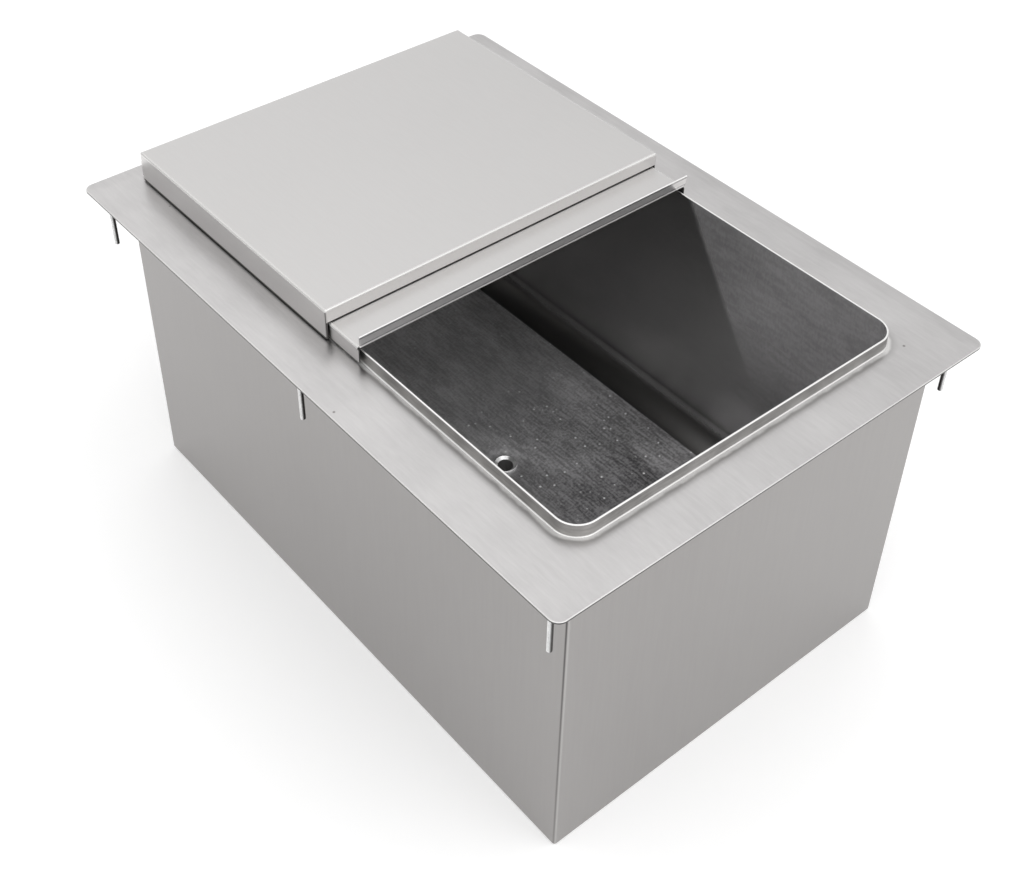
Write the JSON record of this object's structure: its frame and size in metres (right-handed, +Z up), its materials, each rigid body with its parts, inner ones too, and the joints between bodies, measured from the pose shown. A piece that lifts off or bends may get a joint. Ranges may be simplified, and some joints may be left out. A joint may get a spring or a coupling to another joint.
{
  "type": "drop-in ice bin",
  "caption": "Insulated stainless drop-in ice bin: a coved well under a flat deck with studs below it, a floor drain, and two loose covers, the front one sliding under the rear one.",
  "frame": {"origin": "under the middle of the deck, on the plane that the casing stands on", "axes": "+Z up; Y along the long side, the front cover's handle lip facing -Y; X across the short side"},
  "size_m": [0.324, 0.457, 0.2521],
  "materials": {
    "brushed_steel": "satin",
    "liner_steel": "satin",
    "casing_steel": "satin",
    "polished_steel": "gloss",
    "rubber": "matte",
    "foam": "matte"
  },
  "bodies": {
    "bin": {"top_flange": "brushed_steel", "liner": "liner_steel", "casing_front_left": "casing_steel", "casing_back_right": "casing_steel", "casing_bottom": "casing_steel", "insulation_left": "foam", "insulation_right": "foam", "insulation_front": "foam", "insulation_back": "foam", "insulation_bottom": "foam", "stud_left_1": "polished_steel", "stud_left_2": "polished_steel", "stud_left_3": "polished_steel", "stud_right_1": "polished_steel", "stud_right_2": "polished_steel", "stud_right_3": "polished_steel", "drain_fitting": "polished_steel", "drain_gasket": "rubber", "drain_washer": "polished_steel", "drain_locknut": "polished_steel", "drain_coupling": "polished_steel", "drain_pipe": "polished_steel"},
    "front_cover": {"front_cover": "brushed_steel"},
    "rear_cover": {"rear_cover": "brushed_steel"}
  },
  "joints": [
    {"name": "front_cover_slide", "type": "slide", "parent": "bin", "child": "front_cover", "axis": [0, 1, 0], "range_m": [-0.1755, 0.0268]},
    {"name": "rear_cover_lift", "type": "slide", "parent": "bin", "child": "rear_cover", "axis": [0, 0, 1], "range_m": [0, 0.15]}
  ]
}
